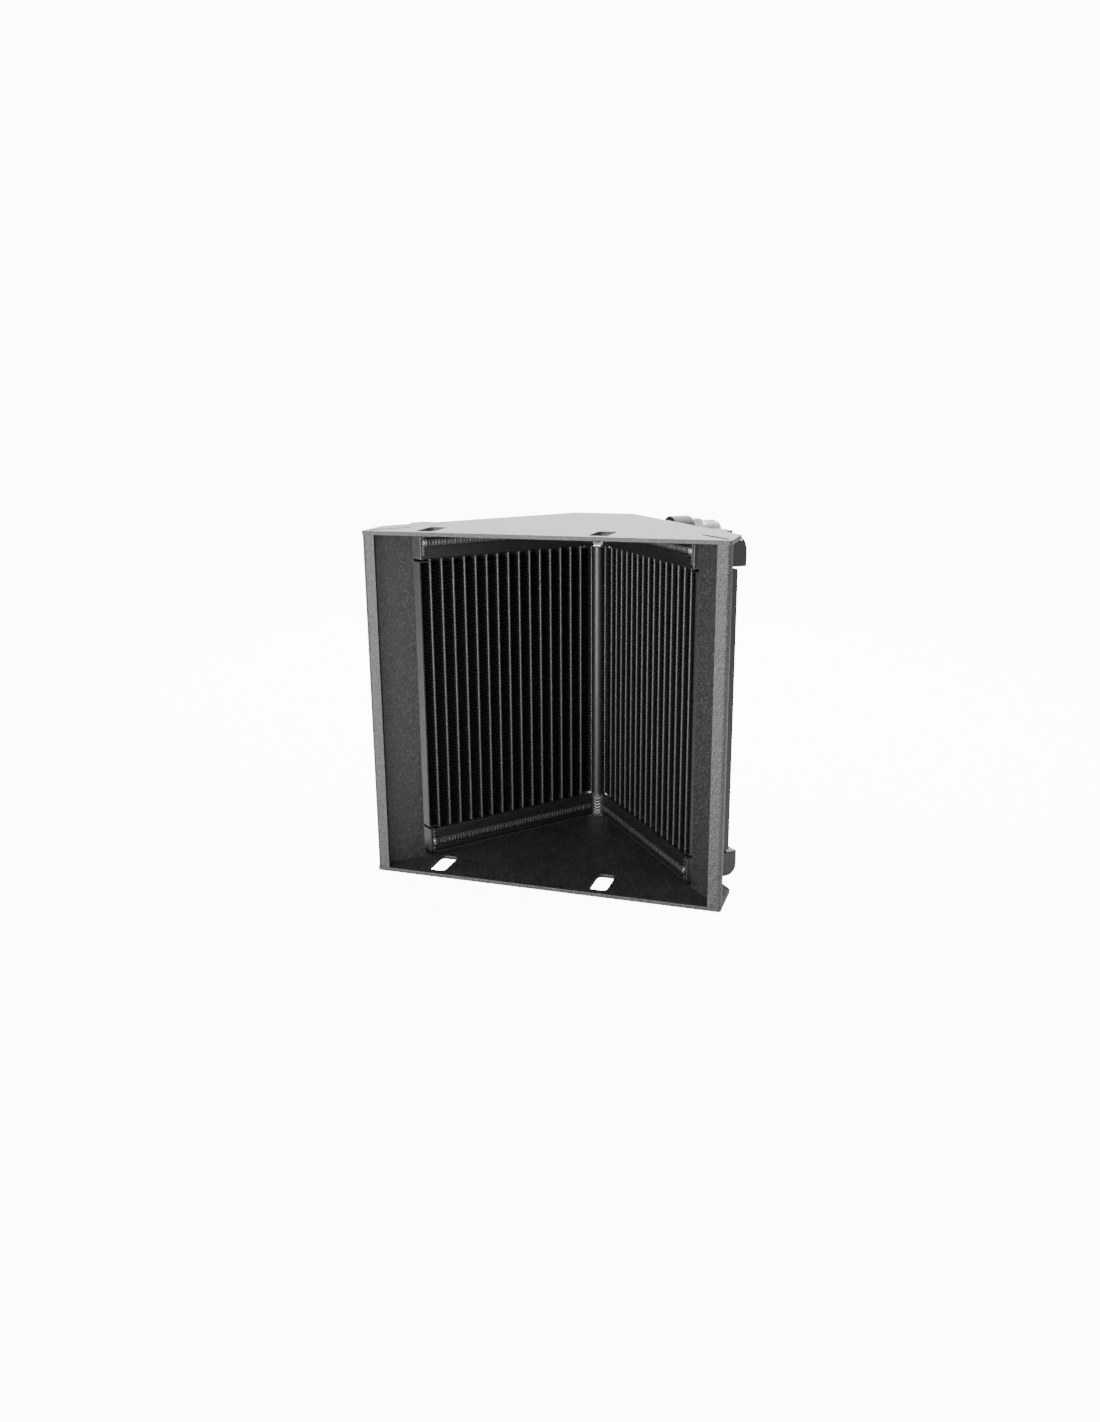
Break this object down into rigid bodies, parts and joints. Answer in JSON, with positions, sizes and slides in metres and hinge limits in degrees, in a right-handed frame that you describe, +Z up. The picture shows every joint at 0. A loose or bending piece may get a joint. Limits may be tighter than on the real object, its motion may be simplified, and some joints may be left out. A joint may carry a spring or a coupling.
{
  "type": "twin core oil cooler",
  "caption": "V-mounted twin-core oil cooler with upright flat tubes and welded end tanks, held in a folded sheet-metal housing that is open at the front.",
  "frame": {"origin": "middle of the housing's front bottom edge, on the underside of the bottom plate", "axes": "+X to the right seen from the open front, +Y backwards from the open front to the point of the V, +Z up along the tubes"},
  "size_m": [0.2756, 0.1847, 0.27],
  "materials": {
    "housing_coat": "fine-texture dark grey powder coat",
    "core_coat": "satin black coat on welded aluminium",
    "tube_coat": "thin satin black coat",
    "fin_coat": "thin matt black coat on folded foil",
    "plated_fitting": "bright machined",
    "seal_rubber": "matt",
    "foam_strip": "closed-cell foam"
  },
  "bodies": {
    "root": {"apex_pillar": "core_coat", "bottom_apex_block": "core_coat", "bottom_left_end_cap": "core_coat", "bottom_left_header": "core_coat", "bottom_left_tank": "core_coat", "bottom_plate": "housing_coat", "bottom_right_end_cap": "core_coat", "bottom_right_header": "core_coat", "bottom_right_tank": "core_coat", "bottom_seal_strips": "foam_strip", "bottom_tab_spacers": "core_coat", "inlet_bung": "core_coat", "inlet_fitting": "plated_fitting", "inlet_o_ring": "seal_rubber", "left_core_fins": "fin_coat", "left_core_tubes": "tube_coat", "left_inner_side_plate": "core_coat", "left_outer_side_plate": "core_coat", "left_side_panel": "housing_coat", "outlet_bung": "core_coat", "outlet_fitting": "plated_fitting", "outlet_o_ring": "seal_rubber", "right_core_fins": "fin_coat", "right_core_tubes": "tube_coat", "right_inner_side_plate": "core_coat", "right_outer_side_plate": "core_coat", "right_side_panel": "housing_coat", "top_apex_block": "core_coat", "top_left_end_cap": "core_coat", "top_left_header": "core_coat", "top_left_tank": "core_coat", "top_plate": "housing_coat", "top_right_end_cap": "core_coat", "top_right_header": "core_coat", "top_right_tank": "core_coat", "top_seal_strips": "foam_strip", "top_tab_spacers": "core_coat"}
  },
  "joints": []
}
